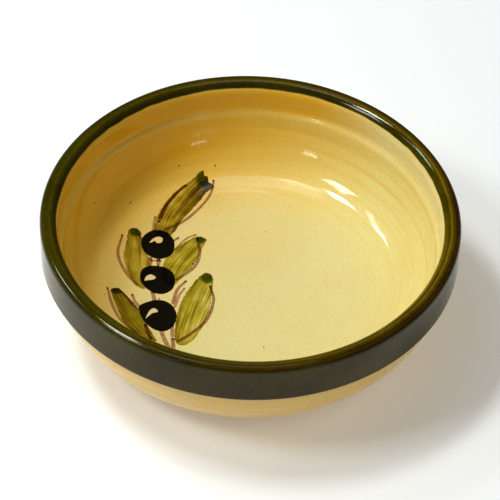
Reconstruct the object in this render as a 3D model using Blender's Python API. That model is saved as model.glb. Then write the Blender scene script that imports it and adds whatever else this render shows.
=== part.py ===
"""Wide shallow bowl of glazed earthenware with a green painted collar.

One turned body: a trimmed foot ring, a rounded lower wall, a collar that stands a little
proud of the wall below it, and a rounded lip. Inside, a soft shoulder marks the foot of the
collar, and below it the wall runs in one curve into a shallow dished floor.

Units are metres and +Z is up. The foot stands on z = 0, and the axis of turning is the Z axis.
Profile points are (radius, height) pairs.
"""
import math

import bmesh
import bpy

# Driving dimensions
HEIGHT = 0.0612
COLLAR_RADIUS = 0.100
RIM_WALL = 0.0087
FOOT_RADIUS = 0.0735
FLOOR_THICKNESS = 0.0085

# Lip: two quarter ellipses that meet at the crest, the outer one a little squarer
LIP_OUT = (0.0033, 0.0030)
LIP_OUT_SQUARENESS = 0.8
LIP_IN = (0.0054, 0.0060)
PAINTED_LIP_DEPTH = 0.0030

# Collar
COLLAR_FOOT_HEIGHT = 0.0406
COLLAR_EDGE_ROUND = 0.0012
COLLAR_STEP = 0.0034

# Shoulder inside, where the collar meets the lower wall
SHOULDER_FOOT = 0.0425
SHOULDER_DEPTH = 0.0020
SHOULDER_RISE = 0.0050

# Lower wall outside: part of an ellipse that hangs from the foot of the collar
BELLY_RADIUS = 0.0810
BELLY_DEPTH = 0.0563

# Lower wall and floor inside: two Bezier curves that meet where the floor starts to rise
FLOOR_EDGE = (0.0725, 0.0177)
FLOOR_EDGE_SLOPE = math.radians(22.0)
FLOOR_PULL = 0.0350
EDGE_PULL = 0.0140
CORNER_PULL = 0.0090
WALL_PULL = 0.40
WALL_LEAN = 0.15

# Foot ring
FOOT_RING_WIDTH = 0.0070
FOOT_RECESS = 0.0020
FOOT_CHAMFER = 0.0005
RECESS_SLOPE_WIDTH = 0.0010

# Fineness of the turned shape
SEGMENTS = 96
FLOOR_STEPS = 7
WALL_STEPS = 9
SHOULDER_STEPS = 3
LIP_IN_STEPS = 4
LIP_OUT_STEPS = 7
EDGE_STEPS = 3
BELLY_STEPS = 9
MERGE_DISTANCE = 1e-6
SHARP_ANGLE = math.radians(40.0)

# Material colours, linear RGB
CREAM_GLAZE = (0.80, 0.65, 0.27, 1.0)
GREEN_GLAZE = (0.035, 0.030, 0.004, 1.0)
BARE_CLAY = (0.58, 0.36, 0.17, 1.0)

# How rough each finish is
CREAM_ROUGHNESS = 0.16
GREEN_ROUGHNESS = 0.12
CLAY_ROUGHNESS = 0.85


def ellipse_points(centre, radii, start, end, steps, power=1.0):
    """Points on an ellipse from angle start to angle end, without the first one.

    A power below 1 makes a squarer curve, which has to stay within one quarter.
    """
    points = []
    for step in range(1, steps + 1):
        angle = start + (end - start) * step / steps
        across = math.cos(angle)
        up = math.sin(angle)
        r = centre[0] + radii[0] * math.copysign(abs(across) ** power, across)
        z = centre[1] + radii[1] * math.copysign(abs(up) ** power, up)
        points.append((r, z))
    return points


def bezier_points(p0, p1, p2, p3, steps):
    """Points on a cubic Bezier curve, without the first one."""
    points = []
    for step in range(1, steps + 1):
        t = step / steps
        weights = ((1 - t) ** 3, 3 * t * (1 - t) ** 2, 3 * t * t * (1 - t), t ** 3)
        r = sum(w * p[0] for w, p in zip(weights, (p0, p1, p2, p3)))
        z = sum(w * p[1] for w, p in zip(weights, (p0, p1, p2, p3)))
        points.append((r, z))
    return points


def inside_profile():
    """From the middle of the floor up to the foot of the lip's inner rounding."""
    floor_height = FOOT_RECESS + FLOOR_THICKNESS
    collar_wall = (COLLAR_RADIUS - RIM_WALL, SHOULDER_FOOT + SHOULDER_RISE)
    shoulder = (collar_wall[0] - SHOULDER_DEPTH, SHOULDER_FOOT)
    run = (math.cos(FLOOR_EDGE_SLOPE), math.sin(FLOOR_EDGE_SLOPE))
    wall_pull = WALL_PULL * (shoulder[1] - FLOOR_EDGE[1])
    shoulder_pull = SHOULDER_RISE / 2

    points = [(0.0, floor_height)]
    points += bezier_points(
        points[-1],
        (FLOOR_PULL, floor_height),
        (FLOOR_EDGE[0] - EDGE_PULL * run[0], FLOOR_EDGE[1] - EDGE_PULL * run[1]),
        FLOOR_EDGE,
        FLOOR_STEPS,
    )
    points += bezier_points(
        FLOOR_EDGE,
        (FLOOR_EDGE[0] + CORNER_PULL * run[0], FLOOR_EDGE[1] + CORNER_PULL * run[1]),
        (shoulder[0] - WALL_LEAN * wall_pull, shoulder[1] - wall_pull),
        shoulder,
        WALL_STEPS,
    )
    points += bezier_points(
        shoulder,
        (shoulder[0] + WALL_LEAN * shoulder_pull, shoulder[1] + shoulder_pull),
        (collar_wall[0] - WALL_LEAN * shoulder_pull, collar_wall[1] - shoulder_pull),
        collar_wall,
        SHOULDER_STEPS,
    )
    return points


def lip_profile():
    """Over the lip, from its inner foot to its outer one."""
    crest = COLLAR_RADIUS - LIP_OUT[0]
    inner_centre = (crest, HEIGHT - LIP_IN[1])
    outer_centre = (crest, HEIGHT - LIP_OUT[1])
    points = [(crest - LIP_IN[0], inner_centre[1])]
    points += ellipse_points(inner_centre, LIP_IN, math.pi, math.pi / 2, LIP_IN_STEPS)
    over = ellipse_points(
        outer_centre, LIP_OUT, math.pi / 2, 0.0, LIP_OUT_STEPS, LIP_OUT_SQUARENESS
    )
    return points + over


def outside_profile():
    """Down the collar, under its edge and round the belly to the foot."""
    belly_top = (COLLAR_RADIUS - COLLAR_STEP, COLLAR_FOOT_HEIGHT)
    belly_centre = (belly_top[0] - BELLY_RADIUS, belly_top[1])
    edge_centre = (COLLAR_RADIUS - COLLAR_EDGE_ROUND, COLLAR_FOOT_HEIGHT + COLLAR_EDGE_ROUND)
    edge_radii = (COLLAR_EDGE_ROUND, COLLAR_EDGE_ROUND)
    belly_radii = (BELLY_RADIUS, BELLY_DEPTH)
    first_angle = -COLLAR_EDGE_ROUND / BELLY_DEPTH
    foot_angle = -math.acos((FOOT_RADIUS - belly_centre[0]) / BELLY_RADIUS)

    points = [(COLLAR_RADIUS, edge_centre[1])]
    points += ellipse_points(edge_centre, edge_radii, 0.0, -math.pi / 2, EDGE_STEPS)
    points.append((belly_top[0] + COLLAR_EDGE_ROUND / 2, belly_top[1]))
    points.append((belly_top[0], belly_top[1] - COLLAR_EDGE_ROUND / 2))
    points += ellipse_points(belly_centre, belly_radii, first_angle, foot_angle, BELLY_STEPS)
    return points


def foot_profile():
    """Down the foot ring, across its flat and over the recessed underside to the axis."""
    ring_inside = FOOT_RADIUS - FOOT_RING_WIDTH
    return [
        (FOOT_RADIUS - FOOT_CHAMFER, FOOT_CHAMFER),
        (FOOT_RADIUS - 2 * FOOT_CHAMFER, 0.0),
        (ring_inside, 0.0),
        (ring_inside - FOOT_CHAMFER, FOOT_CHAMFER),
        (ring_inside - RECESS_SLOPE_WIDTH, FOOT_RECESS - FOOT_CHAMFER),
        (ring_inside - 2 * RECESS_SLOPE_WIDTH, FOOT_RECESS),
        (0.0, FOOT_RECESS),
    ]


def glaze_material(name, colour, roughness):
    """A Principled material of one glaze or of the bare clay."""
    material = bpy.data.materials.new(name)
    material.use_nodes = True
    material.diffuse_color = colour
    shader = material.node_tree.nodes["Principled BSDF"]
    shader.inputs["Base Color"].default_value = colour
    shader.inputs["Roughness"].default_value = roughness
    shader.inputs["Metallic"].default_value = 0.0
    return material


def turn(profile):
    """Spin the open profile about the Z axis into one closed body."""
    body = bmesh.new()
    verts = [body.verts.new((r, 0.0, z)) for r, z in profile]
    edges = [body.edges.new(pair) for pair in zip(verts, verts[1:])]
    bmesh.ops.spin(
        body,
        geom=verts + edges,
        cent=(0.0, 0.0, 0.0),
        axis=(0.0, 0.0, 1.0),
        dvec=(0.0, 0.0, 0.0),
        angle=2 * math.pi,
        steps=SEGMENTS,
        use_merge=True,
    )
    bmesh.ops.remove_doubles(body, verts=body.verts, dist=MERGE_DISTANCE)
    bmesh.ops.recalc_face_normals(body, faces=body.faces)
    return body


def finish_of(face):
    """Material index of a face: 0 cream glaze, 1 green glaze, 2 bare clay."""
    centre = face.calc_center_median()
    if centre.z > HEIGHT - PAINTED_LIP_DEPTH:
        return 1
    outside = math.hypot(centre.x, centre.y) > COLLAR_RADIUS - COLLAR_STEP
    if outside and centre.z > COLLAR_FOOT_HEIGHT:
        return 1
    if centre.z < FOOT_CHAMFER / 2:
        return 2
    return 0


def make_bowl():
    """The whole bowl as one named object."""
    profile = inside_profile() + lip_profile() + outside_profile() + foot_profile()
    body = turn(profile)
    for face in body.faces:
        face.material_index = finish_of(face)
    mesh = bpy.data.meshes.new("bowl")
    body.to_mesh(mesh)
    body.free()
    mesh.materials.append(glaze_material("cream_glaze", CREAM_GLAZE, CREAM_ROUGHNESS))
    mesh.materials.append(glaze_material("green_glaze", GREEN_GLAZE, GREEN_ROUGHNESS))
    mesh.materials.append(glaze_material("bare_clay", BARE_CLAY, CLAY_ROUGHNESS))
    mesh.shade_smooth()
    mesh.set_sharp_from_angle(angle=SHARP_ANGLE)
    bowl = bpy.data.objects.new("bowl", mesh)
    bpy.context.scene.collection.objects.link(bowl)
    return bowl


for leftover in list(bpy.data.objects):
    bpy.data.objects.remove(leftover, do_unlink=True)
make_bowl()
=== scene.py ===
"""Finish for a shallow glazed earthenware bowl with an olive sprig painted in its floor.

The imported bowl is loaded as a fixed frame. A finely turned body stands for it, with a skin of
dark green glaze over the collar, bare clay under the foot ring, and the painting laid on the
floor as thin raised marks. Lengths are in metres, except the painting's plan, which is in
millimetres. The bowl stands on z = 0 and is turned about the Z axis. The camera is on the
-Y side.
"""
import math

import bpy
import numpy as np
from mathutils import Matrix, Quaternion, Vector


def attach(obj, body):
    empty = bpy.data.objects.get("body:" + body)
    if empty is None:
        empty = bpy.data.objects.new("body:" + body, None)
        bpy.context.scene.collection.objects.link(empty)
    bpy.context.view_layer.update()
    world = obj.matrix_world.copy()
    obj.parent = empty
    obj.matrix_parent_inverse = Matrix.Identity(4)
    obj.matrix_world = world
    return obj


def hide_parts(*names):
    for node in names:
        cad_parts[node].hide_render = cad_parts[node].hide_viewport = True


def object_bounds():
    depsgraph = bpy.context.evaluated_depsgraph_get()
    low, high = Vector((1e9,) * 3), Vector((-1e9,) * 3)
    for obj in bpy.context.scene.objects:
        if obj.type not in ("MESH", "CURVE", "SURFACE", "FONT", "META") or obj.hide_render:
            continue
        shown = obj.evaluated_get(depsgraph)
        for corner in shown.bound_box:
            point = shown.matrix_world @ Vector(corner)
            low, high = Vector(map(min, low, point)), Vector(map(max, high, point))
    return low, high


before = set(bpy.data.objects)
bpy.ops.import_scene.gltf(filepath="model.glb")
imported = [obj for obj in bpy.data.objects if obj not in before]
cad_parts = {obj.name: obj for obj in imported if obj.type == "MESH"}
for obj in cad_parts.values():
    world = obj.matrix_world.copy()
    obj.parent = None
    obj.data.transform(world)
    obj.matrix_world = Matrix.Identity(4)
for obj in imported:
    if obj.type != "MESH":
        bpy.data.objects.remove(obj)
CAD_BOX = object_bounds()

MM = 0.001
SEED = 7
NOISE_SIZE = 64

# Driving dimensions: the first two come from the frame
COLLAR_RADIUS = (CAD_BOX[1].x - CAD_BOX[0].x) / 2
HEIGHT = CAD_BOX[1].z
RIM_WALL = 0.0087
FOOT_RADIUS = 0.0735
FLOOR_THICKNESS = 0.0085

# Lip: two quarter ellipses that meet at the crest, the outer one a little squarer
LIP_OUT = (0.0033, 0.0030)
LIP_OUT_SQUARENESS = 0.8
LIP_IN = (0.0054, 0.0060)

# Collar
COLLAR_FOOT_HEIGHT = HEIGHT - 0.0206
COLLAR_EDGE_ROUND = 0.0012
COLLAR_STEP = 0.0034

# Shoulder inside, where the collar meets the lower wall
SHOULDER_FOOT = HEIGHT - 0.0187
SHOULDER_DEPTH = 0.0020
SHOULDER_RISE = 0.0050

# Lower wall outside: part of an ellipse that hangs from the foot of the collar
BELLY_RADIUS = 0.0810
BELLY_DEPTH = 0.0563

# Lower wall and floor inside: two Bezier curves that meet where the floor starts to rise
FLOOR_EDGE = (0.0725, 0.0177)
FLOOR_EDGE_SLOPE = math.radians(22.0)
FLOOR_PULL = 0.0350
EDGE_PULL = 0.0140
CORNER_PULL = 0.0090
WALL_PULL = 0.40
WALL_LEAN = 0.15

# Foot ring
FOOT_RING_WIDTH = 0.0070
FOOT_RECESS = 0.0020
FOOT_CHAMFER = 0.0005
RECESS_SLOPE_WIDTH = 0.0010

# The potter's hand: throwing rings on the inside, and a slightly uneven lip
RING_PITCH = 0.0062
RING_WALL_DEPTH = 0.00003
RING_FLOOR_DEPTH = 0.00001
LIP_SWAY = 0.0003
LIP_DIP = 0.0002

# Fineness of the turned body
SEGMENTS = 360
FLOOR_STEPS = 75
WALL_STEPS = 42
SHOULDER_STEPS = 16
LIP_IN_STEPS = 12
LIP_OUT_STEPS = 22
COLLAR_STEPS = 12
EDGE_STEPS = 6
BELLY_STEPS = 40
UNDERSIDE_STEPS = 12

# Green glaze skin on the collar
SKIN_EDGE_HEIGHT = HEIGHT - 0.0030
SKIN_THICKNESS = 0.00018
SKIN_FADE = 0.0008
SKIN_WANDER = 0.0003
SKIN_ROWS = 90
COLLAR_DENSITY = 3.4

# Fine lines turned in that glaze over the lip: radius from the crest, width and depth
COLLAR_LINES = ((-0.0010, 0.0007, 0.42), (0.0005, 0.0003, 0.15), (0.0020, 0.0003, 0.22))

# Where that glaze broke thin and amber over the lip: from how far inside the crest, over what
# width, and in which direction from the axis
LIP_BREAK_START = 0.0018
LIP_BREAK_WIDTH = 0.0012
LIP_BREAK_SIDE = math.radians(-60.0)

# Bare clay on the foot ring
FOOT_CLAY_THICKNESS = 0.00003
FOOT_CLAY_ROWS = 24

# Relief of the painted marks, in millimetres: fineness of the mesh, thickness, and how far in
# from its outline a mark reaches that thickness
LEAF_RELIEF = (0.25, 0.05, 0.4)
LINE_RELIEF = (0.20, 0.08, 0.3)
OLIVE_RELIEF = (0.25, 0.09, 1.0)
SPECK_RELIEF = (0.15, 0.10, 0.3)
GLINT_RELIEF = (0.20, 0.14, 0.4)
RELIEF_SUNK = 0.03
RELIEF_BURIED = 0.30

# Painted lines: how much wider they spread than the brush, and in millimetres the length of
# their dark start and of the clouds in them
LINE_SPREAD = 1.2
LINE_START = 0.9
LINE_CLOUDS = 0.9

# Leaves, in millimetres: width and length of the brush's hairs and bands, size of the pools,
# and size and depth of the ragged edge
LEAF_HAIRS = (0.34, 12)
LEAF_BANDS = (1.2, 16)
LEAF_POOLS = 4
LEAF_RAGGED = (1.1, 0.28)

# How much light one unit of each pigment lets through, per red, green and blue
GREEN_WASH = (0.575, 0.53, 0.11)
TIP_GREEN = (0.50, 0.56, 0.22)
BROWN_LINE = (0.55, 0.36, 0.36)
BLACK_SLIP = (0.11, 0.10, 0.08)
IRON_SPECK = (0.16, 0.10, 0.06)
COLLAR_GREEN = (0.45, 0.45, 0.10)
COLLAR_BROWN = (0.53, 0.45, 0.08)
PALE_SLIP = (1.02, 0.98, 1.15)

# Grain of each pigment: bumps per metre, and how much its strength varies
COLLAR_GRAIN = (500.0, 0.08)
LEAF_GRAIN = (2200.0, 0.18)
LINE_GRAIN = (1800.0, 0.20)
OLIVE_GRAIN = (900.0, 0.05)
GLINT_GRAIN = (1500.0, 0.10)

# Colours of the cream glaze and of the clay
FLOOR_CREAM = (0.80, 0.710, 0.350, 1.0)
# Painted shade: the floor's colour on its shaded side
FLOOR_SHADE_WARM = (0.79, 0.650, 0.275, 1.0)
WALL_CREAM = (0.84, 0.715, 0.285, 1.0)
# Painted shade: deep amber on the shaded side of the wall
WALL_SHADE_AMBER = (0.91, 0.540, 0.030, 1.0)
UPPER_CREAM = (0.88, 0.795, 0.430, 1.0)
# Painted highlight: the pale line on the shoulder
SHOULDER_HIGHLIGHT = (0.88, 0.690, 0.250, 1.0)
BELLY_TAN = (0.88, 0.630, 0.225, 1.0)
# Painted shade: browner near the foot
BELLY_FOOT_SHADE = (0.66, 0.430, 0.130, 1.0)
CLOUD_AMBER = (0.80, 0.520, 0.110, 1.0)
MOTTLE_ORANGE = (0.62, 0.400, 0.100, 1.0)
SPECK_BROWN = (0.48, 0.260, 0.060, 1.0)
CLAY_PALE = (0.62, 0.38, 0.19, 1.0)
CLAY_DARK = (0.48, 0.26, 0.12, 1.0)
CLAY_GRIT = (0.74, 0.58, 0.40, 1.0)

# Where the cream glaze turns from one colour to the next, as ranges in metres: radius from
# floor to wall and on the lip, distance towards the side of painted amber shade, distance
# from the shoulder's line of painted highlight, radius outside less the wall's slope, and
# height above the foot, where painted shade browns the belly
FLOOR_TO_WALL = (0.050, 0.086)
LIP_REACH = (0.0919, 0.0930)
SHADE_SIDE = (-0.77, 0.64, 0.0)
WALL_SHADE_REACH = (-0.010, 0.075)
FLOOR_SHADE_REACH = (-0.020, 0.050)
SHOULDER_HIGHLIGHT_RISE = 0.0018
SHOULDER_HIGHLIGHT_REACH = (0.0010, 0.0030)
OUTSIDE_SLOPE = 0.53
OUTSIDE_REACH = (0.069, 0.072)
FOOT_SHADE_REACH = (0.006, 0.020)

# How much of each colour shows where it is strongest
# The first three are painted light: amber shade above the shoulder, the shoulder's highlight and shade
# near the foot
UPPER_SHADE_GAIN = 2.0
SHOULDER_HIGHLIGHT_SHARE = 0.50
FOOT_SHADE_SHARE = 0.75
STREAK_SHARE = 0.50
CLOUD_SHARE = 0.14
MOTTLE_SHARE = 0.42
SPECK_SHARE = 0.50

# Fineness of the marks in the glaze and the clay, in bumps per metre
STREAKS_ROUND = 6.0
STREAKS_ACROSS = 400.0
CLOUD_SCALE = 45.0
MOTTLE_SCALE = 1100.0
SPECK_SCALE = 300.0
PEEL_SCALE = 260.0
SHEEN_SCALE = 120.0
CLAY_CLOUD_SCALE = 90.0
CLAY_GRIT_SCALE = 1500.0

# Gloss
GLAZE_IOR = 1.50
GREEN_GLAZE_IOR = 1.38
GLAZE_ROUGHNESS = (0.05, 0.10)
PEEL_STRENGTH = 0.05
PEEL_DEPTH = 0.0002
CLAY_ROUGHNESS = 0.88

# Stage and light
STAGE_HALF = 3.0
STAGE_GAP = 0.0001
STAGE_WHITE = (0.80, 0.80, 0.80, 1.0)
GLOW_COLOUR = (1.0, 0.98, 0.92, 1.0)
FLOOR_GLOW = 0.25
SURROUND = 0.06
PANEL_DISTANCE = 1.6
VIEW_GAMMA = 0.85

# Camera
CAMERA_TARGET = Vector((0.0002, 0.0, HEIGHT - 0.0238))
CAMERA_ELEVATION = math.radians(45.0)
CAMERA_DISTANCE = 1.3524
CAMERA_ROLL = math.radians(2.19)
CAMERA_LENS = 202.6


# ------- the turned shape


def ellipse_points(centre, radii, start, end, steps, power=1.0):
    """Points on an ellipse from angle start to angle end, without the first one.

    A power below 1 makes a squarer curve, which has to stay within one quarter.
    """
    angles = np.linspace(start, end, steps + 1)[1:]
    across = np.sign(np.cos(angles)) * np.abs(np.cos(angles)) ** power
    up = np.sign(np.sin(angles)) * np.abs(np.sin(angles)) ** power
    return list(zip(centre[0] + radii[0] * across, centre[1] + radii[1] * up))


def bezier_points(p0, p1, p2, p3, steps):
    """Points on a cubic Bezier curve, without the first one."""
    t = np.linspace(0.0, 1.0, steps + 1)[1:, None]
    corners = np.array((p0, p1, p2, p3))
    weights = np.hstack(((1 - t) ** 3, 3 * t * (1 - t) ** 2, 3 * t * t * (1 - t), t ** 3))
    return [tuple(point) for point in weights @ corners]


def straight_points(start, end, steps):
    """Points on a straight line, without the first one."""
    return [tuple(point) for point in np.linspace(start, end, steps + 1)[1:]]


def inside_profile():
    """From the middle of the floor up to the foot of the lip's inner rounding."""
    floor_height = FOOT_RECESS + FLOOR_THICKNESS
    collar_wall = (COLLAR_RADIUS - RIM_WALL, SHOULDER_FOOT + SHOULDER_RISE)
    shoulder = (collar_wall[0] - SHOULDER_DEPTH, SHOULDER_FOOT)
    run = (math.cos(FLOOR_EDGE_SLOPE), math.sin(FLOOR_EDGE_SLOPE))
    wall_pull = WALL_PULL * (shoulder[1] - FLOOR_EDGE[1])
    shoulder_pull = SHOULDER_RISE / 2

    points = [(0.0, floor_height)]
    points += bezier_points(
        points[-1],
        (FLOOR_PULL, floor_height),
        (FLOOR_EDGE[0] - EDGE_PULL * run[0], FLOOR_EDGE[1] - EDGE_PULL * run[1]),
        FLOOR_EDGE,
        FLOOR_STEPS,
    )
    points += bezier_points(
        FLOOR_EDGE,
        (FLOOR_EDGE[0] + CORNER_PULL * run[0], FLOOR_EDGE[1] + CORNER_PULL * run[1]),
        (shoulder[0] - WALL_LEAN * wall_pull, shoulder[1] - wall_pull),
        shoulder,
        WALL_STEPS,
    )
    points += bezier_points(
        shoulder,
        (shoulder[0] + WALL_LEAN * shoulder_pull, shoulder[1] + shoulder_pull),
        (collar_wall[0] - WALL_LEAN * shoulder_pull, collar_wall[1] - shoulder_pull),
        collar_wall,
        SHOULDER_STEPS,
    )
    return points


def lip_profile():
    """Up the inside of the collar, over the lip and down to the collar's outer edge."""
    crest = COLLAR_RADIUS - LIP_OUT[0]
    inner_centre = (crest, HEIGHT - LIP_IN[1])
    outer_centre = (crest, HEIGHT - LIP_OUT[1])
    inner_foot = (crest - LIP_IN[0], inner_centre[1])
    collar_wall = (COLLAR_RADIUS - RIM_WALL, SHOULDER_FOOT + SHOULDER_RISE)
    points = straight_points(collar_wall, inner_foot, COLLAR_STEPS)
    points += ellipse_points(inner_centre, LIP_IN, math.pi, math.pi / 2, LIP_IN_STEPS)
    over = ellipse_points(
        outer_centre, LIP_OUT, math.pi / 2, 0.0, LIP_OUT_STEPS, LIP_OUT_SQUARENESS
    )
    return points + over


def outside_profile():
    """Down the collar, under its edge and round the belly to the foot."""
    belly_top = (COLLAR_RADIUS - COLLAR_STEP, COLLAR_FOOT_HEIGHT)
    belly_centre = (belly_top[0] - BELLY_RADIUS, belly_top[1])
    edge_centre = (COLLAR_RADIUS - COLLAR_EDGE_ROUND, COLLAR_FOOT_HEIGHT + COLLAR_EDGE_ROUND)
    edge_radii = (COLLAR_EDGE_ROUND, COLLAR_EDGE_ROUND)
    corner = COLLAR_EDGE_ROUND / 2
    belly_radii = (BELLY_RADIUS, BELLY_DEPTH)
    first_angle = -COLLAR_EDGE_ROUND / BELLY_DEPTH
    foot_angle = -math.acos((FOOT_RADIUS - belly_centre[0]) / BELLY_RADIUS)

    collar_top = (COLLAR_RADIUS, HEIGHT - LIP_OUT[1])
    points = straight_points(collar_top, (COLLAR_RADIUS, edge_centre[1]), COLLAR_STEPS)
    points += ellipse_points(edge_centre, edge_radii, 0.0, -math.pi / 2, EDGE_STEPS)
    corner_centre = (belly_top[0] + corner, belly_top[1] - corner)
    points += ellipse_points(corner_centre, (corner, corner), math.pi / 2, math.pi, EDGE_STEPS)
    points += ellipse_points(belly_centre, belly_radii, first_angle, foot_angle, BELLY_STEPS)
    return points


def foot_profile():
    """Down the foot ring, across its flat and over the recessed underside to the axis."""
    ring_inside = FOOT_RADIUS - FOOT_RING_WIDTH
    recess_edge = (ring_inside - 2 * RECESS_SLOPE_WIDTH, FOOT_RECESS)
    points = [
        (FOOT_RADIUS - FOOT_CHAMFER, FOOT_CHAMFER),
        (FOOT_RADIUS - 2 * FOOT_CHAMFER, 0.0),
        (ring_inside, 0.0),
        (ring_inside - FOOT_CHAMFER, FOOT_CHAMFER),
        (ring_inside - RECESS_SLOPE_WIDTH, FOOT_RECESS - FOOT_CHAMFER),
        recess_edge,
    ]
    return points + straight_points(recess_edge, (0.0, FOOT_RECESS), UNDERSIDE_STEPS)


def running_length(points):
    """Distance along a line of points, from its first one."""
    steps = np.linalg.norm(np.diff(points, axis=0), axis=1)
    return np.concatenate(([0.0], np.cumsum(steps)))


def outward_normals(points):
    """Unit normals of the profile, out of the clay."""
    run = np.gradient(points, axis=0)
    normals = np.stack((-run[:, 1], run[:, 0]), axis=1)
    return normals / np.linalg.norm(normals, axis=1, keepdims=True)


INSIDE = np.array(inside_profile())
PROFILE = np.array(inside_profile() + lip_profile() + outside_profile() + foot_profile())
ALONG = running_length(PROFILE)
NORMALS = outward_normals(PROFILE)
INSIDE_END = ALONG[len(INSIDE) - 1]


def profile_at(along):
    """Radius, height and normal of the profile at distances along it."""
    return [np.interp(along, ALONG, row) for row in (*PROFILE.T, *NORMALS.T)]


def along_at_radius(radius):
    """Distance along the profile of a point on the inside, from its radius."""
    count = len(INSIDE)
    return np.interp(radius, PROFILE[:count, 0], ALONG[:count])


def ring_lift(along, angle):
    """Height of the throwing rings, which fade out up the wall and over the floor's middle."""
    turns = 2 * math.pi * along / RING_PITCH
    wave = np.sin(turns - angle + 0.6 * np.sin(2 * angle + 1.0))
    wave += 0.6 * np.sin(0.63 * turns + angle + 2.0) * np.cos(angle - 0.7)
    wall = np.clip((along / FLOOR_EDGE[0] - 0.75) / 0.35, 0.0, 1.0)
    top = np.clip((INSIDE_END - along) / (2 * RING_PITCH), 0.0, 1.0)
    depth = RING_FLOOR_DEPTH + (RING_WALL_DEPTH - RING_FLOOR_DEPTH) * wall
    return depth * wave * top * np.clip(along / RING_PITCH, 0.0, 1.0)


def turned_points(along, angle, lift):
    """Points of the bowl's surface, raised by lift along the surface's normal."""
    radius, height, out, up = profile_at(along)
    raised = lift + ring_lift(along, angle)
    r = radius + out * raised
    z = height + up * raised
    rise = (z / HEIGHT) ** 3
    r = r + LIP_SWAY * rise * np.sin(angle) ** 2
    z = z - LIP_DIP * rise * np.sin(3 * angle)
    return np.stack((r * np.cos(angle), r * np.sin(angle), z), axis=-1)


def plan_points(plan, lift):
    """Points on the inside at plan positions in metres, raised by lift."""
    radius = np.hypot(plan[..., 0], plan[..., 1])
    angle = np.arctan2(plan[..., 1], plan[..., 0])
    return turned_points(along_at_radius(radius), angle, lift)


# ------- meshes


def new_object(name, data):
    """A new object, linked to the scene."""
    made = bpy.data.objects.new(name, data)
    bpy.context.scene.collection.objects.link(made)
    return made


def link_mesh(name, points, faces, material):
    """A smooth mesh object that rides on the bowl's body."""
    mesh = bpy.data.meshes.new(name)
    mesh.from_pydata([tuple(point) for point in points], [], [tuple(face) for face in faces])
    mesh.update()
    mesh.shade_smooth()
    mesh.materials.append(material)
    piece = new_object(name, mesh)
    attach(piece, "root")
    return piece


def paint_stain(piece, stain):
    """Stores each point's stain, the share of light that its pigment lets through."""
    layer = piece.data.color_attributes.new("stain", "FLOAT_COLOR", "POINT")
    rgba = np.ones((len(piece.data.vertices), 4))
    rgba[:, :3] = stain
    layer.data.foreach_set("color", rgba.astype(np.float32).ravel())


def ring_faces(rows, columns, closed_rows=False):
    """Quads of a grid that closes round its columns, and round its rows if asked."""
    faces = []
    for row in range(rows if closed_rows else rows - 1):
        below = row * columns
        above = (row + 1) % rows * columns
        for column in range(columns):
            after = (column + 1) % columns
            faces.append((below + column, below + after, above + after, above + column))
    return faces


def make_body(material):
    """The turned clay body, from the middle of the floor over the lip and round to the axis."""
    along = ALONG[1:-1]
    angles = np.arange(SEGMENTS) * 2 * math.pi / SEGMENTS
    grid_along, grid_angle = np.meshgrid(along, angles, indexing="ij")
    lift = np.zeros_like(grid_along)
    points = turned_points(grid_along, grid_angle, lift).reshape(-1, 3)
    rows = len(along)
    faces = ring_faces(rows, SEGMENTS)

    middle = len(points)
    under = middle + 1
    last = (rows - 1) * SEGMENTS
    for column in range(SEGMENTS):
        after = (column + 1) % SEGMENTS
        faces.append((middle, after, column))
        faces.append((last + column, last + after, under))
    ends = [(0.0, 0.0, PROFILE[0][1]), (0.0, 0.0, PROFILE[-1][1])]
    points = np.vstack((points, ends))
    faces = [face[::-1] for face in faces]
    body = link_mesh("bowl_body", points, faces, material)
    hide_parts("bowl")
    return body


def make_skin(name, start, end, rows, lift, stain, material):
    """A closed ring laid on the body between two distances along its profile.

    start may differ from angle to angle. lift and stain are functions of the distance from
    the start, the distance to the end and the angle.
    """
    angles = np.arange(SEGMENTS) * 2 * math.pi / SEGMENTS
    share = np.linspace(0.0, 1.0, rows)[:, None]
    first = start(angles)[None, :]
    along = first + (end - first) * share
    angle = np.broadcast_to(angles, along.shape)
    from_start = along - first
    to_end = end - along
    outer = turned_points(along, angle, lift(from_start, to_end, angle))
    buried = turned_points(along, angle, np.full_like(along, -2 * SKIN_THICKNESS))
    points = np.concatenate((outer, buried[::-1]))
    faces = ring_faces(2 * rows, SEGMENTS, closed_rows=True)
    faces = [face[::-1] for face in faces]
    skin = link_mesh(name, points.reshape(-1, 3), faces, material)
    if stain is not None:
        colours = stain(along, from_start, to_end, angle)
        paint_stain(skin, np.concatenate((colours, colours[::-1])).reshape(-1, 3))
    return skin


def smooth(value):
    """Eased step from 0 to 1, flat at both ends."""
    value = np.clip(value, 0.0, 1.0)
    return value * value * (3 - 2 * value)


def without_corner_contacts(cells):
    """Fills in cells where two of them touch only at a corner, so that the edge is one line."""
    cells = cells.copy()
    while True:
        a, b, c, d = cells[:-1, :-1], cells[1:, 1:], cells[1:, :-1], cells[:-1, 1:]
        rising = a & b & ~c & ~d
        falling = c & d & ~a & ~b
        if not (rising.any() or falling.any()):
            return cells
        c |= rising
        a |= falling


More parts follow.
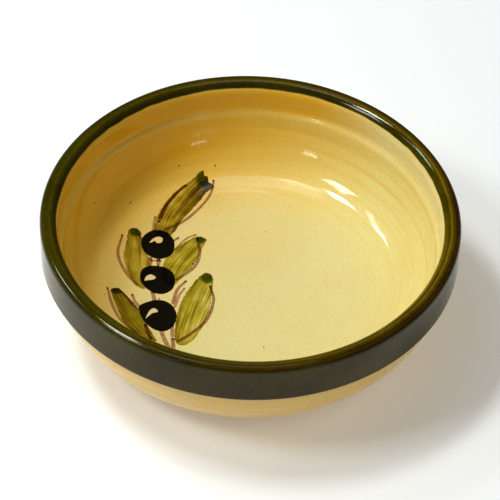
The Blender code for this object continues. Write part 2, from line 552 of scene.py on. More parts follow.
def relief_mesh(depth, corner, pitch, margin):
    """Grid points and faces of a closed flat-bottomed patch where depth is above -margin.

    depth holds the distance inside a mark's outline at each node of a square grid. Returns the
    plan positions of the nodes in use, their depths, and the faces over both layers: top nodes
    first, then the same nodes again for the bottom.
    """
    keep = depth > -margin
    cells = keep[:-1, :-1] & keep[1:, :-1] & keep[1:, 1:] & keep[:-1, 1:]
    cells = without_corner_contacts(cells)
    used = np.zeros(depth.shape, bool)
    for step_x in (0, 1):
        for step_y in (0, 1):
            used[step_x:step_x + cells.shape[0], step_y:step_y + cells.shape[1]] |= cells
    index = np.full(depth.shape, -1)
    index[used] = np.arange(used.sum())
    ix, iy = np.nonzero(cells)
    quads = np.stack(
        (index[ix, iy], index[ix + 1, iy], index[ix + 1, iy + 1], index[ix, iy + 1]), axis=1
    )
    edges = np.concatenate([quads[:, [side, (side + 1) % 4]] for side in range(4)])
    count = int(used.sum())
    forward = edges[:, 0] * count + edges[:, 1]
    backward = edges[:, 1] * count + edges[:, 0]
    rim = edges[~np.isin(forward, backward)]
    walls = np.stack((rim[:, 1], rim[:, 0], rim[:, 0] + count, rim[:, 1] + count), axis=1)
    faces = np.concatenate((quads, quads[:, ::-1] + count, walls))
    nodes = np.stack(np.nonzero(used), axis=1)
    return corner + nodes * pitch, depth[used], faces


def make_relief(mark, relief, material):
    """A painted mark as a thin raised piece on the inside surface."""
    pitch, height, edge = relief
    margin = 3 * pitch
    low = mark.low - margin - pitch
    high = mark.high + margin + pitch
    counts = np.ceil((high - low) / pitch).astype(int) + 1
    grid = low + pitch * np.stack(np.meshgrid(*map(np.arange, counts), indexing="ij"), axis=-1)
    depth = mark.depth(grid.reshape(-1, 2)).reshape(counts)
    plan, depth, faces = relief_mesh(depth, low, pitch, margin)
    foot = 0.6 * margin
    sunk = -RELIEF_SUNK * MM
    lift = sunk + (height * MM - sunk) * smooth((depth + foot) / (edge + foot))
    buried = np.full(len(plan), -RELIEF_BURIED * MM)
    top = plan_points(plan * MM, lift)
    bottom = plan_points(plan * MM, buried)
    piece = link_mesh(mark.name, np.concatenate((top, bottom)), faces, material)
    stain = stain_at(plan)
    paint_stain(piece, np.concatenate((stain, stain)))


# ------- lines, outlines and noise


def smooth_path(points, steps, closed=False):
    """A Catmull-Rom curve through the points, open or closed."""
    points = np.array(points, float)
    if closed:
        points = np.vstack((points[-1:], points, points[:2]))
    else:
        points = np.vstack((2 * points[0] - points[1], points, 2 * points[-1] - points[-2]))
    t = np.linspace(0.0, 1.0, steps, endpoint=False)[:, None]
    parts = []
    for a, b, c, d in zip(points, points[1:], points[2:], points[3:]):
        bend = (3 * (b - c) + d - a) * t ** 3 + (2 * a - 5 * b + 4 * c - d) * t ** 2
        parts.append(b + 0.5 * (bend + (c - a) * t))
    path = np.vstack(parts)
    return path if closed else np.vstack((path, points[-2]))


def nearest_on_path(plan, path):
    """Distance to a path, how far along it that is from 0 to 1, and which side (+1 is left)."""
    lengths = running_length(path)
    best = np.full(len(plan), np.inf)
    along = np.zeros(len(plan))
    side = np.ones(len(plan))
    for start, end, begin in zip(path, path[1:], lengths):
        run = end - start
        length = np.linalg.norm(run)
        offset = plan - start
        share = np.clip(offset @ run / length ** 2, 0.0, 1.0)
        gap = np.linalg.norm(offset - share[:, None] * run, axis=1)
        closer = gap < best
        best[closer] = gap[closer]
        along[closer] = (begin + share[closer] * length) / lengths[-1]
        cross = run[0] * offset[:, 1] - run[1] * offset[:, 0]
        side[closer] = np.sign(cross[closer])
    return best, along, side


def depth_in_loop(plan, loop):
    """Distance inside a closed outline, negative outside it."""
    closed = np.vstack((loop, loop[:1]))
    gap, _, _ = nearest_on_path(plan, closed)
    inside = np.zeros(len(plan), bool)
    for (x0, y0), (x1, y1) in zip(closed, closed[1:]):
        if y0 == y1:
            continue
        crosses = (plan[:, 1] < y0) != (plan[:, 1] < y1)
        inside ^= crosses & (plan[:, 0] < x0 + (plan[:, 1] - y0) * (x1 - x0) / (y1 - y0))
    return np.where(inside, gap, -gap)


NOISE_TABLE = np.random.default_rng(SEED).uniform(-1.0, 1.0, (NOISE_SIZE, NOISE_SIZE))


def soft_noise(u, v, shift=0):
    """Smooth noise from -1 to 1 over a plane, one bump per unit."""
    u0 = np.floor(u).astype(int)
    v0 = np.floor(v).astype(int)
    fu = smooth(u - u0)
    fv = smooth(v - v0)
    total = 0.0
    for du, wu in ((0, 1 - fu), (1, fu)):
        for dv, wv in ((0, 1 - fv), (1, fv)):
            row = (u0 + du + shift) % NOISE_SIZE
            column = (v0 + dv + 5 * shift) % NOISE_SIZE
            total += NOISE_TABLE[row, column] * wu * wv
    return total


# ------- the painting's marks


class Mark:
    """A painted mark: an area on the plan, in millimetres, and the pigment on it."""

    def box_around(self, points, reach):
        """Keeps the lowest and highest corners of the mark's plan box."""
        self.low = points.min(axis=0) - reach
        self.high = points.max(axis=0) + reach

    def stain(self, plan):
        """Share of light that the mark's own pigment lets through at the points."""
        return np.array(self.pigment) ** self.density(plan)[:, None]

    def near(self, plan):
        """Which points of the plan are in the mark's box or within a millimetre of it."""
        return np.all((plan > self.low - 1) & (plan < self.high + 1), axis=1)


class Line(Mark):
    """A brush line that swells and thins along its way."""

    pigment = BROWN_LINE

    def __init__(self, name, points, widths, strength=1.0):
        self.name = name
        self.path = smooth_path(points, 8)
        self.widths = np.array(widths) * LINE_SPREAD
        self.strength = strength
        self.box_around(self.path, max(widths))

    def depth(self, plan):
        gap, along, _ = nearest_on_path(plan, self.path)
        stations = np.linspace(0.0, 1.0, len(self.widths))
        return np.interp(along, stations, self.widths) / 2 - gap

    def density(self, plan):
        """Pigment at the points: denser at the edges and where the brush touched down."""
        depth = self.depth(plan)
        _, along, _ = nearest_on_path(plan, self.path)
        start = np.exp(-(along * running_length(self.path)[-1] / LINE_START) ** 2)
        grain = 1 + 0.25 * soft_noise(*plan.T / LINE_CLOUDS, 3)
        edge = 1 + 0.25 * np.exp(-np.clip(depth, 0.0, None) / 0.2)
        return self.strength * (1 + 1.2 * start) * grain * edge * smooth(depth / 0.25 + 0.5)


class Leaf(Mark):
    """A leaf in green wash, laid with one loaded brush from its dark tip."""

    def __init__(self, name, outline, vein, tip, wash, streak, edge, shade=0.0, shift=0):
        self.name = name
        self.loop = smooth_path(outline, 8, closed=True)
        self.vein = smooth_path(vein, 10)
        self.tip = np.array(tip[:2], float)
        self.tip_reach = tip[2]
        self.wash = wash
        self.streak = streak
        self.edge = edge
        self.shade = shade
        self.shift = shift
        self.box_around(self.loop, 0.8)

    def depth(self, plan):
        size, deep = LEAF_RAGGED
        ragged = soft_noise(*plan.T / size, self.shift + 6)
        return depth_in_loop(plan, self.loop) + deep * ragged

    def stain(self, plan):
        """Thin wash, streaked along the vein and pooled at the edge, and the dark tip."""
        depth = self.depth(plan)
        gap, along, side = nearest_on_path(plan, self.vein)
        run = along * running_length(self.vein)[-1]
        across = gap * side
        hairs = soft_noise(across / LEAF_HAIRS[0], run / LEAF_HAIRS[1], self.shift)
        hairs += 0.7 * soft_noise(across / LEAF_BANDS[0], run / LEAF_BANDS[1], self.shift + 9)
        pools = soft_noise(*plan.T / LEAF_POOLS, self.shift + 4)
        edge = self.edge * np.exp(-np.clip(depth, 0.0, None) / 1.0)
        shade = self.shade * across / 4
        hairs = np.where(hairs < 0, 0.6 * hairs, 1.7 * hairs) - 0.1
        wash = self.wash * np.clip(1 + self.streak * hairs + 0.3 * pools + edge + shade, 0.2, None)
        to_tip = np.linalg.norm(plan - self.tip, axis=1) / self.tip_reach
        to_tip = to_tip + 0.15 * pools
        blob = 2.4 * smooth(1.75 - to_tip) + 0.6 * np.exp(-to_tip / 2.0)
        cover = smooth(depth / 0.35 + 0.5)[:, None]
        green = np.array(GREEN_WASH) ** (wash[:, None] * cover)
        return green * np.array(TIP_GREEN) ** (blob[:, None] * cover)


class Dab(Mark):
    """One loaded dab of slip, filling an outline."""

    def __init__(self, name, outline):
        self.name = name
        self.loop = smooth_path(outline, 8, closed=True)
        self.box_around(self.loop, 0.5)

    def depth(self, plan):
        return depth_in_loop(plan, self.loop)


class Olive(Dab):
    """A black olive."""

    pigment = BLACK_SLIP

    def density(self, plan):
        depth = self.depth(plan)
        cover = 2.0 - 0.35 * np.exp(-np.clip(depth, 0.0, None) / 0.8)
        return cover * smooth(depth / 0.3 + 0.5)


class Glint(Dab):
    """A light left on an olive, in pale slip."""


class Specks(Mark):
    """Small iron specks that burnt through the glaze, and dots left by a dripping brush."""

    pigment = IRON_SPECK

    def __init__(self, name, dots):
        self.name = name
        self.dots = np.array(dots, float)
        self.box_around(self.dots[:, :2], self.dots[:, 2].max())

    def depth(self, plan):
        depths = [size - np.hypot(plan[:, 0] - x, plan[:, 1] - y) for x, y, size in self.dots]
        return np.max(depths, axis=0)

    def density(self, plan):
        return smooth(self.depth(plan) / 0.3 + 0.5)


# Leaves: outline from the base up one side to the tip and down the other, vein from base to
# tip, and the dark tip's place and reach
LEAVES = [
    Leaf(
        "leaf_top",
        [
            (-46, 31), (-47.5, 38), (-44.5, 49), (-38.5, 59.5), (-31, 66.5), (-28, 70), (-25, 72.5),
            (-24, 70.5), (-22.5, 70), (-22, 67.5), (-19.5, 66), (-19.5, 64.5), (-22.5, 62),
            (-27, 54.5), (-34, 43.5), (-39, 33),
        ],
        [(-43, 32), (-40, 45), (-33, 57), (-25, 67)],
        (-24, 68, 3.2),
        wash=1.75, streak=0.60, edge=0.35, shade=-0.25, shift=1,
    ),
    Leaf(
        "leaf_left",
        [
            (-51, -5), (-56, -1), (-60, 8), (-61.5, 16), (-60.5, 26), (-60, 32), (-57, 34),
            (-54, 32), (-53.5, 28), (-50.5, 20), (-48, 10), (-46, 0),
        ],
        [(-50, -4), (-55, 8), (-56, 20), (-57, 32)],
        (-57, 31.5, 2.0),
        wash=1.15, streak=0.65, edge=0.3, shift=12,
    ),
    Leaf(
        "leaf_right",
        [
            (-42, 4), (-42, 14), (-38.5, 22), (-33, 28), (-28, 32.5), (-24, 33.5), (-21.5, 31.5),
            (-22.5, 28.5), (-24.5, 22), (-27, 14.5), (-31.5, 7), (-37, -1),
        ],
        [(-39, 4), (-35, 14), (-30, 23), (-25, 31)],
        (-24.3, 31.7, 1.8),
        wash=1.05, streak=0.70, edge=0.35, shift=23,
    ),
    Leaf(
        "leaf_low",
        [
            (-43, -41), (-52, -37.5), (-59, -30), (-63, -20), (-66, -11.5), (-66, -8.5),
            (-63, -7), (-60.5, -9), (-55, -16), (-50.5, -24), (-46, -33),
        ],
        [(-44.5, -39), (-53, -29), (-59, -19), (-63.5, -9)],
        (-63.7, -8.5, 2.0),
        wash=1.75, streak=0.50, edge=0.3, shift=34,
    ),
    Leaf(
        "leaf_big",
        [
            (-31, -41.5), (-34, -37), (-34, -25), (-32, -11), (-27, 1.5), (-22.5, 8.5), (-20, 9.5),
            (-17.5, 6), (-17.5, -4), (-18.5, -15), (-21.5, -27.5), (-26, -38),
        ],
        [(-30.5, -40), (-28.5, -26), (-25, -10), (-20, 7)],
        (-20.3, 6.0, 2.4),
        wash=0.80, streak=0.70, edge=1.5, shade=0.35, shift=45,
    ),
]

# Lines: points along each stroke, its widths from start to end, and its strength
LINES = [
    Line(
        "line_top_left",
        [(-33, 64), (-38, 58.5), (-42.5, 50.5), (-45, 42.5)],
        (0.7, 1.0, 1.4, 1.5),
        1.5,
    ),
    Line(
        "line_top_right",
        [(-19.5, 68.5), (-20.5, 61.5), (-25, 53), (-33.5, 42.5), (-42.5, 36)],
        (0.9, 1.0, 1.2, 1.3),
    ),
    Line("line_top_base", [(-47.5, 43), (-48, 39), (-48, 34)], (0.9, 1.0, 1.3), 0.7),
    Line("line_top_vein", [(-26.5, 63.5), (-33, 54), (-38.5, 44)], (1.0, 1.8, 0.8), 0.7),
    Line("line_left", [(-63, 28), (-64.5, 16), (-60.5, 5.5), (-54.5, -2.5)], (0.9, 1.2, 1.4, 1.3)),
    Line("line_left_tip", [(-55, 30.5), (-53, 27.5)], (0.8, 0.9)),
    Line("line_right_top", [(-27, 34.5), (-31.5, 31.5), (-36.5, 24)], (0.7, 0.9, 1.0), 0.8),
    Line("line_right", [(-26, 32), (-24.5, 22), (-27, 12.5), (-35, 3.5)], (1.0, 1.3, 1.3, 1.2)),
    Line("line_low_left", [(-68, -8.5), (-65, -19.5), (-60, -29.5), (-51, -38)], (0.9, 1.3, 1.3, 1.2)),
    Line("line_low_right", [(-61.5, -9), (-56.5, -14.5), (-52.5, -19.5)], (0.9, 1.2, 1.2)),
    Line("line_low_base", [(-48.5, -30), (-47, -35), (-45.5, -39)], (1.4, 1.7, 1.4), 1.3),
    Line(
        "line_big",
        [(-18.5, 0.5), (-16.5, -9), (-19.5, -22.5), (-26, -32), (-32, -38.5)],
        (0.9, 1.3, 1.4, 1.4),
        1.2,
    ),
    Line("stalk_olive_low_left", [(-56, -10), (-54.5, -14), (-52, -17.5)], (1.1, 1.3, 1.2), 0.8),
    Line("stalk_olive_low_right", [(-30.5, 3), (-34.5, -3.5), (-36, -12.5)], (1.0, 1.3, 1.6)),
    Line("stalk_olive_low_far", [(-31, -2), (-33.5, -7.5), (-35, -15)], (0.8, 1.1, 1.2), 0.8),
    Line("stalk_olive_top", [(-35.5, 31.5), (-37.5, 29.5)], (0.9, 0.9)),
    Line("stem_upper", [(-48.5, 16), (-48.2, 11)], (1.5, 1.5), 0.9),
    Line("stem_upper_bar", [(-48, 14.6), (-43.5, 15.2)], (0.9, 1.1), 0.9),
    Line("stem_upper_hook", [(-44.5, 16), (-44.4, 13)], (1.6, 1.6), 0.9),
    Line("stem_middle", [(-46.2, -6.5), (-45, -12.5)], (1.6, 1.7), 0.9),
    Line("stem_low_left", [(-41, -32), (-39.3, -37.5), (-37, -43.5)], (1.7, 1.8, 1.9), 0.9),
    Line("stem_low_right", [(-35.8, -28), (-35.3, -35.5)], (1.4, 1.5), 0.9),
    Line("stem_low_end", [(-35, -37.5), (-34.5, -43.5)], (1.5, 1.7)),
]

# Olives and the lights on them: the outline of each
OLIVES = [
    Olive("olive_top", [
        (-37, 26), (-38.5, 31.5), (-43, 35), (-49, 34), (-53, 29), (-53, 22.5),
        (-49, 17.5), (-43.5, 16.5), (-38.5, 20),
    ]),
    Olive("olive_middle", [
        (-35.8, 2.5), (-37.5, 8.5), (-43, 11.6), (-49.5, 10.5), (-52.6, 6.5), (-52.3, 0),
        (-48, -5.5), (-42, -7.2), (-37, -3.5),
    ]),
    Olive("olive_low", [
        (-33.8, -21), (-36.5, -14), (-42, -11.2), (-48.5, -13.5), (-52.3, -18), (-50, -26),
        (-45, -31.7), (-39.5, -32.7), (-35.3, -28.5),
    ]),
]

GLINTS = [
    Glint("glint_top", [
        (-49.5, 26.3), (-48, 29), (-45.5, 30.8), (-43.3, 30.2), (-43.5, 27.5), (-45.8, 26.6),
        (-46.8, 27.8), (-48.2, 26.8),
    ]),
    Glint("glint_middle", [
        (-50.5, 0.8), (-50, 3.5), (-47.8, 5.3), (-45.3, 4), (-46.2, 2.2), (-49, 1.2),
    ]),
    Glint("glint_low", [
        (-43.1, -19.6), (-43.9, -17.8), (-45.6, -17.6), (-47.3, -19.9), (-48.6, -25),
        (-47.5, -23.6), (-45.6, -21),
    ]),
]

# Specks: place and radius of each
SPECKS = Specks(
    "iron_specks",
    [
        (-60.0, 47.5, 0.35), (-69.0, -13.5, 0.30), (-37.0, 71.5, 0.30), (-19.0, 75.5, 0.35),
        (-27.5, 15.0, 0.50), (-45.5, 40.5, 0.70), (-44.5, 12.0, 0.45), (-43.0, -10.5, 0.45),
        (-47.0, -25.0, 0.30), (7.5, 39.0, 0.25), (8.5, -39.5, 0.35), (-77.0, 36.0, 0.30),
    ],
)


def stain_at(plan):
    """Share of light, per colour, that all the pigment at the plan points lets through."""
    stain = np.ones((len(plan), 3))
    for mark in LEAVES + LINES + OLIVES + [SPECKS]:
        near = mark.near(plan)
        if near.any():
            stain[near] *= mark.stain(plan[near])
    for mark in GLINTS:
        near = mark.near(plan)
        if near.any():
            cover = smooth(mark.depth(plan[near]) / 0.25 + 0.5)[:, None]
            stain[near] = stain[near] * (1 - cover) + np.array(PALE_SLIP) * cover
    return stain


# ------- materials


class Nodes:
    """Short hand for building a node tree."""

    def __init__(self, tree):
        self.tree = tree

    def add(self, kind, inputs=None, **settings):
        """A new node with its settings, and its inputs set or linked by name or number."""
        node = self.tree.nodes.new("ShaderNode" + kind)
        for name, value in settings.items():
            setattr(node, name, value)
        for key, value in (inputs or {}).items():
            if isinstance(value, bpy.types.NodeSocket):
                self.tree.links.new(value, node.inputs[key])
            else:
                node.inputs[key].default_value = value
        return node

    def between(self, factor, first, second, blend="MIX"):
        """One colour over another by a factor."""
        inputs = {0: factor, 6: first, 7: second}
        settings = {"data_type": "RGBA", "blend_type": blend, "clamp_factor": True}
        return self.add("Mix", inputs, **settings).outputs[2]

    def math(self, operation, *values):
        """Result of one step of arithmetic."""
        return self.add("Math", dict(enumerate(values)), operation=operation).outputs[0]

    def vector(self, operation, *values, output=0):
        """Result of one step of arithmetic on vectors."""
        node = self.add("VectorMath", dict(enumerate(values)), operation=operation)
        return node.outputs[output]

    def noise(self, vector, scale, detail=2.0, roughness=0.5):
        """Noise texture value at a scale in bumps per metre."""
        inputs = {"Vector": vector, "Scale": scale, "Detail": detail, "Roughness": roughness}
        return self.add("TexNoise", inputs).outputs["Fac"]

    def spread(self, value, low, high, new_low=0.0, new_high=1.0):
        """A value mapped from one range to another, kept within it."""
        names = ("Value", "From Min", "From Max", "To Min", "To Max")
        inputs = dict(zip(names, (value, low, high, new_low, new_high)))
        return self.add("MapRange", inputs).outputs["Result"]


def glaze_place(nodes):
    """Where a point is: its place, the same flattened, its radius and its height."""
    place = nodes.add("TexCoord").outputs["Object"]
    flat = nodes.vector("MULTIPLY", place, (1.0, 1.0, 0.0))
    radius = nodes.vector("LENGTH", flat, output="Value")
    height = nodes.add("SeparateXYZ", {0: place}).outputs["Z"]
    return place, flat, radius, height


def inside_colour(nodes, flat, radius, height, wall):
    """From the pale floor to the wall, with amber painted shade on one side of wall and floor."""
    # Painted shade: amber on the wall towards one side, strongest above the shoulder
    towards = nodes.vector("DOT_PRODUCT", flat, SHADE_SIDE, output="Value")
    wall_shade = nodes.spread(towards, *WALL_SHADE_REACH)
    above = nodes.spread(height, SHOULDER_FOOT, SHOULDER_FOOT + SHOULDER_RISE)
    unshaded_wall = nodes.between(above, WALL_CREAM, UPPER_CREAM)
    upper_shade = nodes.spread(above, 0.0, 1.0, 1.0, UPPER_SHADE_GAIN)
    amber = nodes.math("MULTIPLY", wall_shade, upper_shade)
    wall_glaze = nodes.between(amber, unshaded_wall, WALL_SHADE_AMBER)
    lip = nodes.spread(radius, *LIP_REACH)
    wall_glaze = nodes.between(lip, wall_glaze, WALL_CREAM)
    # Painted shade: the floor warmer and darker on the same side as the wall's shade
    floor_shade = nodes.spread(towards, *FLOOR_SHADE_REACH)
    floor_glaze = nodes.between(floor_shade, FLOOR_CREAM, FLOOR_SHADE_WARM)
    return nodes.between(wall, floor_glaze, wall_glaze)


def shoulder_colour(nodes, colour, height):
    """Painted highlight: paler along the shoulder, where its edge catches the light."""
    offset = nodes.math("SUBTRACT", height, SHOULDER_FOOT + SHOULDER_HIGHLIGHT_RISE)
    offset = nodes.math("ABSOLUTE", offset)
    # Painted highlight: a pale line along the shoulder
    thin = nodes.spread(offset, *SHOULDER_HIGHLIGHT_REACH, SHOULDER_HIGHLIGHT_SHARE, 0.0)
    return nodes.between(thin, colour, SHOULDER_HIGHLIGHT)


def outside_colour(nodes, colour, radius, height):
    """Tan outside below the collar, and browner near the foot as painted shade."""
    drop = nodes.math("MULTIPLY", height, OUTSIDE_SLOPE)
    outside = nodes.math("SUBTRACT", radius, drop)
    outside = nodes.spread(outside, *OUTSIDE_REACH)
    # Painted shade: browner towards the foot
    foot_shade = nodes.spread(height, *FOOT_SHADE_REACH, FOOT_SHADE_SHARE, 0.0)
    belly = nodes.between(foot_shade, BELLY_TAN, BELLY_FOOT_SHADE)
    return nodes.between(outside, colour, belly)


def brush_streaks(nodes, colour, flat, radius, height, wall):
    """Soft streaks round the wall, left by the brush as the wheel turned."""
    turning = nodes.vector("MULTIPLY", flat, (STREAKS_ROUND, STREAKS_ROUND, 0.0))
    rings = nodes.add("CombineXYZ", {"X": radius, "Y": height, "Z": radius}).outputs[0]
    rings = nodes.vector("MULTIPLY", rings, (STREAKS_ACROSS, STREAKS_ACROSS, 0.0))
    streak_place = nodes.vector("ADD", rings, turning)
    streaks = nodes.spread(nodes.noise(streak_place, 1.0, 3.0), 0.48, 0.72, 0.0, STREAK_SHARE)
    wall_streaks = nodes.math("MULTIPLY", streaks, wall)
    return nodes.between(wall_streaks, colour, CLOUD_AMBER)


def fired_marks(nodes, colour, place):
    """Clouds, fine orange mottle and brown specks."""
    clouds = nodes.spread(nodes.noise(place, CLOUD_SCALE, 3.0), 0.45, 0.75, 0.0, CLOUD_SHARE)
    colour = nodes.between(clouds, colour, CLOUD_AMBER)
    mottle = nodes.noise(place, MOTTLE_SCALE, 4.0, 0.65)
    mottle = nodes.spread(mottle, 0.50, 0.74, 0.0, MOTTLE_SHARE)
    colour = nodes.between(mottle, colour, MOTTLE_ORANGE)
    cells = nodes.add("TexVoronoi", {"Vector": place, "Scale": SPECK_SCALE, "Randomness": 1.0})
    dot = nodes.spread(cells.outputs["Distance"], 0.05, 0.11, 1.0, 0.0)
    chosen = nodes.spread(cells.outputs["Color"], 0.60, 0.64, 0.0, SPECK_SHARE)
    specks = nodes.math("MULTIPLY", dot, chosen)
    return nodes.between(specks, colour, SPECK_BROWN)


def glaze_surface(nodes, place):
    """The glaze's roughness, and its normal with the faint peel of a fired surface."""
    roughness = nodes.spread(nodes.noise(place, SHEEN_SCALE, 3.0), 0.3, 0.7, *GLAZE_ROUGHNESS)
    peel = nodes.noise(place, PEEL_SCALE)
    inputs = {"Height": peel, "Strength": PEEL_STRENGTH, "Distance": PEEL_DEPTH}
    return roughness, nodes.add("Bump", inputs).outputs["Normal"]


def ground_glaze_group():
    """The cream glaze on the clay, as a node group: its colour, roughness and normal."""
    tree = bpy.data.node_groups.new("ground_glaze", "ShaderNodeTree")
    for name, kind in (("Color", "Color"), ("Roughness", "Float"), ("Normal", "Vector")):
        tree.interface.new_socket(name, in_out="OUTPUT", socket_type="NodeSocket" + kind)
    nodes = Nodes(tree)
    place, flat, radius, height = glaze_place(nodes)
    wall = nodes.spread(radius, *FLOOR_TO_WALL)
    colour = inside_colour(nodes, flat, radius, height, wall)
    colour = shoulder_colour(nodes, colour, height)
    colour = outside_colour(nodes, colour, radius, height)
    colour = brush_streaks(nodes, colour, flat, radius, height, wall)
    colour = fired_marks(nodes, colour, place)
    roughness, normal = glaze_surface(nodes, place)
    output = tree.nodes.new("NodeGroupOutput")
    for value, socket in zip((colour, roughness, normal), output.inputs):
        tree.links.new(value, socket)
    return tree


def new_material(name, ior=GLAZE_IOR):
    """An empty material with a Principled shader, and the hand that builds its nodes."""
    material = bpy.data.materials.new(name)
    material.use_nodes = True
    material.node_tree.nodes.clear()
    nodes = Nodes(material.node_tree)
    shader = nodes.add("BsdfPrincipled", {"IOR": ior})
    nodes.add("OutputMaterial", {"Surface": shader.outputs[0]})
    return material, nodes, shader


def lay_glaze(nodes, shader, group, colour):
    """Gives the shader a colour, with the roughness and the normal of the ground."""
    nodes.tree.links.new(colour, shader.inputs["Base Color"])
    for key in ("Roughness", "Normal"):
        nodes.tree.links.new(group.outputs[key], shader.inputs[key])


def cream_glaze_material(ground):
    """Cream glaze with nothing painted on it."""
    material, nodes, shader = new_material("cream_glaze")
    group = nodes.add("Group", node_tree=ground)
    lay_glaze(nodes, shader, group, group.outputs["Color"])
    return material


def painted_material(name, ground, grain, ior=GLAZE_IOR):
    """Glaze with pigment in it: the ground's colour, stained as each point's stain says."""
    material, nodes, shader = new_material(name, ior)
    scale, share = grain
    group = nodes.add("Group", node_tree=ground)
    stain = nodes.add("Attribute", attribute_name="stain").outputs["Color"]
    place = nodes.add("TexCoord").outputs["Object"]
    strength = nodes.noise(place, scale, 3.0)
    strength = nodes.spread(strength, 0.25, 0.75, 1.0 - share, 1.0 + share)
    stain = nodes.add("Gamma", {"Color": stain, "Gamma": strength}).outputs[0]
    colour = nodes.between(1.0, group.outputs["Color"], stain, "MULTIPLY")
    lay_glaze(nodes, shader, group, colour)
    return material


def bare_clay_material():
    """Unglazed fired clay, sandy and worn."""
    material, nodes, shader = new_material("bare_clay")
    place = nodes.add("TexCoord").outputs["Object"]
    clouds = nodes.noise(place, CLAY_CLOUD_SCALE, 4.0)
    colour = nodes.between(clouds, CLAY_PALE, CLAY_DARK)
    grit = nodes.noise(place, CLAY_GRIT_SCALE, 4.0, 0.7)
    grit = nodes.spread(grit, 0.55, 0.75, 0.0, 0.6)
    colour = nodes.between(grit, colour, CLAY_GRIT)
    bump = nodes.add("Bump", {"Height": grit, "Strength": 0.5, "Distance": 0.0002})
    nodes.tree.links.new(colour, shader.inputs["Base Color"])
    nodes.tree.links.new(bump.outputs["Normal"], shader.inputs["Normal"])
    shader.inputs["Roughness"].default_value = CLAY_ROUGHNESS
    return material


def stage_material():
    """Matt white that glows a little by itself, as a light table does."""
    material, _, shader = new_material("floor_white")
    shader.inputs["Base Color"].default_value = STAGE_WHITE
    shader.inputs["Roughness"].default_value = 0.9
    shader.inputs["Emission Color"].default_value = GLOW_COLOUR
    shader.inputs["Emission Strength"].default_value = FLOOR_GLOW
    return material


# ------- the pieces


def collar_lift(from_start, to_end, angle):
    """Thickness of the green glaze: thin at its inner edge, full over the lip and collar."""
    swell = smooth(from_start / SKIN_FADE) * smooth(to_end / (0.5 * SKIN_FADE))
    sunk = -0.25 * SKIN_THICKNESS
    return sunk + (SKIN_THICKNESS - sunk) * swell


def collar_stain(along, from_start, to_end, angle):
    """The green glaze's stain, with the lines turned in it over the lip.

    It is deepest inside the lip on the left, as painted shade, browner over the crest on the
    right, and thin and amber inside the crest at the front.
    """
    radius, height, _, _ = profile_at(along)
    drift = soft_noise(angle * 18, along / 0.004, 2)
    fade = smooth((from_start / SKIN_FADE + 0.35 * drift - 0.1) / 1.1)
    crest = COLLAR_RADIUS - LIP_OUT[0]
    right = 0.5 + 0.5 * np.cos(angle)
    on_lip = smooth((height - (HEIGHT - LIP_OUT[1])) / 0.002)
    density = COLLAR_DENSITY * fade * (1 + 0.10 * soft_noise(angle * 7, along / 0.012, 6))
    # Painted shade: darker inside the lip on the left
    density *= 1 + 0.20 * (1 - right) * on_lip * smooth((crest - 0.0025 - radius) / 0.0010)
    density *= 1 + 0.25 * right * on_lip * smooth((radius - crest) / 0.0015)
    for line_radius, width, depth in COLLAR_LINES:
        offset = (radius - crest - line_radius + 0.0002 * drift) / width
        density *= 1 - depth * (0.4 + 0.6 * right) * on_lip * np.exp(-offset ** 2)
    brown = 0.75 * right * on_lip * smooth((radius - crest + 0.0022) / 0.0012)
    broken = smooth((crest - LIP_BREAK_START - radius) / LIP_BREAK_WIDTH)
    broken = smooth(np.cos(angle - LIP_BREAK_SIDE)) * broken
    density *= 1 - 0.40 * broken
    brown = np.maximum(brown, 0.8 * broken)
    brown = brown[..., None]
    pigment = np.array(COLLAR_GREEN) * (1 - brown) + np.array(COLLAR_BROWN) * brown
    return pigment ** density[..., None]


def make_collar_glaze(material):
    """The green glaze over the lip and the collar's outside, down to the collar's edge."""
    inner = np.argmax(PROFILE[:, 1] > SKIN_EDGE_HEIGHT)
    belly_top = COLLAR_RADIUS - COLLAR_STEP + COLLAR_EDGE_ROUND
    outside = (ALONG > ALONG[inner]) & (PROFILE[:, 1] < HEIGHT / 1.4)
    outer = np.argmax(outside & (PROFILE[:, 0] < belly_top))

    def start(angles):
        wander = soft_noise(angles * 5, angles * 0, 1)
        wander += 0.3 * soft_noise(angles * 17, angles * 0, 8)
        return ALONG[inner] + SKIN_WANDER * wander * np.sin(angles / 2)

    end = ALONG[outer]
    rows = SKIN_ROWS
    make_skin("collar_glaze", start, end, rows, collar_lift, collar_stain, material)


def make_foot_clay(material):
    """Bare clay over the foot ring, where the glaze was wiped off before firing."""
    ring = np.nonzero((PROFILE[:, 1] < 3 * FOOT_CHAMFER) & (ALONG > INSIDE_END))[0]

    def start(angles):
        return np.full_like(angles, ALONG[ring[0]])

    def lift(from_start, to_end, angle):
        return np.full_like(from_start, FOOT_CLAY_THICKNESS)

    end = ALONG[ring[-1]]
    make_skin("foot_clay", start, end, FOOT_CLAY_ROWS, lift, None, material)


def make_painting(leaf, line, olive, glint):
    """Every painted mark as its own thin raised piece."""
    for mark in LEAVES:
        make_relief(mark, LEAF_RELIEF, leaf)
    for mark in LINES:
        make_relief(mark, LINE_RELIEF, line)
    for mark in OLIVES:
        make_relief(mark, OLIVE_RELIEF, olive)
    make_relief(SPECKS, SPECK_RELIEF, line)
    for mark in GLINTS:
        make_relief(mark, GLINT_RELIEF, glint)


# ------- stage, light and camera


def direction(azimuth, elevation):
    """Unit vector towards an azimuth from +X and an elevation, in degrees."""
    a = math.radians(azimuth)
    e = math.radians(elevation)
    return Vector((math.cos(a) * math.cos(e), math.sin(a) * math.cos(e), math.sin(e)))


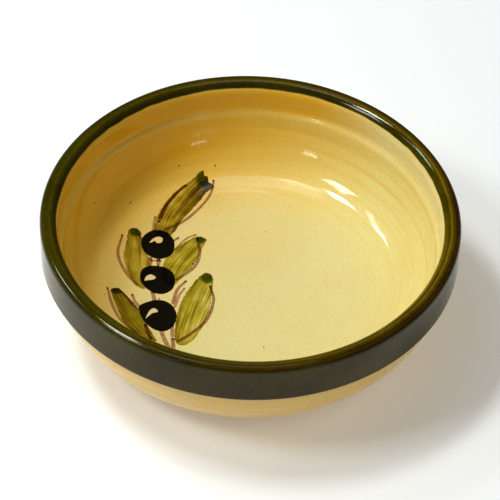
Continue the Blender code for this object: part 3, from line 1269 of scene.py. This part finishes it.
def add_panel(name, azimuth, elevation, size, energy, colour=(1.0, 1.0, 1.0), mirrored=True):
    """A soft panel of light aimed at the bowl, which the glaze mirrors unless told not to."""
    light = bpy.data.lights.new(name, "AREA")
    light.shape = "RECTANGLE"
    light.size, light.size_y = size
    light.energy = energy
    light.color = colour
    panel = new_object(name, light)
    away = direction(azimuth, elevation)
    panel.location = away * PANEL_DISTANCE
    panel.rotation_mode = "QUATERNION"
    panel.rotation_quaternion = away.to_track_quat("Z", "Y")
    panel.visible_glossy = mirrored


def make_stage():
    """A plain white floor that fills the view."""
    mesh = bpy.data.meshes.new("floor")
    corners = ((-1, -1), (1, -1), (1, 1), (-1, 1))
    points = [(STAGE_HALF * x, STAGE_HALF * y, -STAGE_GAP) for x, y in corners]
    mesh.from_pydata(points, [], [(0, 1, 2, 3)])
    mesh.materials.append(stage_material())
    floor = new_object("floor", mesh)


def make_world():
    """A dim even surround."""
    world = bpy.data.worlds.new("surround")
    world.use_nodes = True
    background = world.node_tree.nodes["Background"]
    background.inputs["Color"].default_value = (1.0, 1.0, 1.0, 1.0)
    background.inputs["Strength"].default_value = SURROUND
    bpy.context.scene.world = world


def make_camera():
    """A long lens from above the front, turned a little about its own axis."""
    camera = bpy.data.cameras.new("camera")
    camera.lens = CAMERA_LENS
    camera.sensor_width = 36.0
    camera.clip_end = 20.0
    holder = new_object("camera", camera)
    away = Vector((0.0, -math.cos(CAMERA_ELEVATION), math.sin(CAMERA_ELEVATION)))
    holder.location = CAMERA_TARGET + away * CAMERA_DISTANCE
    holder.rotation_mode = "QUATERNION"
    aim = away.to_track_quat("Z", "Y")
    holder.rotation_quaternion = aim @ Quaternion((0.0, 0.0, 1.0), CAMERA_ROLL)
    bpy.context.scene.camera = holder


def make_lights():
    """Windows behind the left side, panels overhead, low strips in front, and two soft fills."""
    add_panel("key", 158.0, 65.0, (0.40, 0.22), 10.0, (0.94, 0.98, 1.0))
    add_panel("low_window", 141.0, 49.0, (0.20, 0.24), 3.2, (0.85, 0.93, 1.0))
    add_panel("left_window", 197.0, 51.0, (0.40, 0.36), 6.9, (0.90, 0.95, 1.0))
    add_panel("side_window", 156.0, 49.0, (0.34, 0.12), 0.9, (0.70, 0.88, 1.0))
    add_panel("overhead", 98.0, 77.0, (0.60, 0.40), 1.6, (0.70, 0.88, 1.0))
    add_panel("overhead_side", 142.0, 76.0, (0.20, 0.30), 0.7)
    add_panel("low_front", -125.0, 21.0, (0.22, 0.04), 0.45)
    add_panel("low_side", -58.0, 14.0, (0.25, 0.03), 0.35)
    add_panel("left_wash", 193.0, 43.0, (0.70, 0.60), 3.0, mirrored=False)
    add_panel("front_fill", -45.0, 52.0, (0.90, 0.90), 4.0, (1.0, 0.90, 0.70), mirrored=False)


ground = ground_glaze_group()
cream = cream_glaze_material(ground)
make_body(cream)
make_collar_glaze(painted_material("green_glaze", ground, COLLAR_GRAIN, GREEN_GLAZE_IOR))
make_foot_clay(bare_clay_material())
make_painting(
    painted_material("leaf_green", ground, LEAF_GRAIN),
    painted_material("line_brown", ground, LINE_GRAIN),
    painted_material("olive_black", ground, OLIVE_GRAIN),
    painted_material("glint_cream", ground, GLINT_GRAIN),
)
make_stage()
make_world()
make_lights()
make_camera()
bpy.context.scene.view_settings.view_transform = "Standard"
bpy.context.scene.view_settings.gamma = VIEW_GAMMA
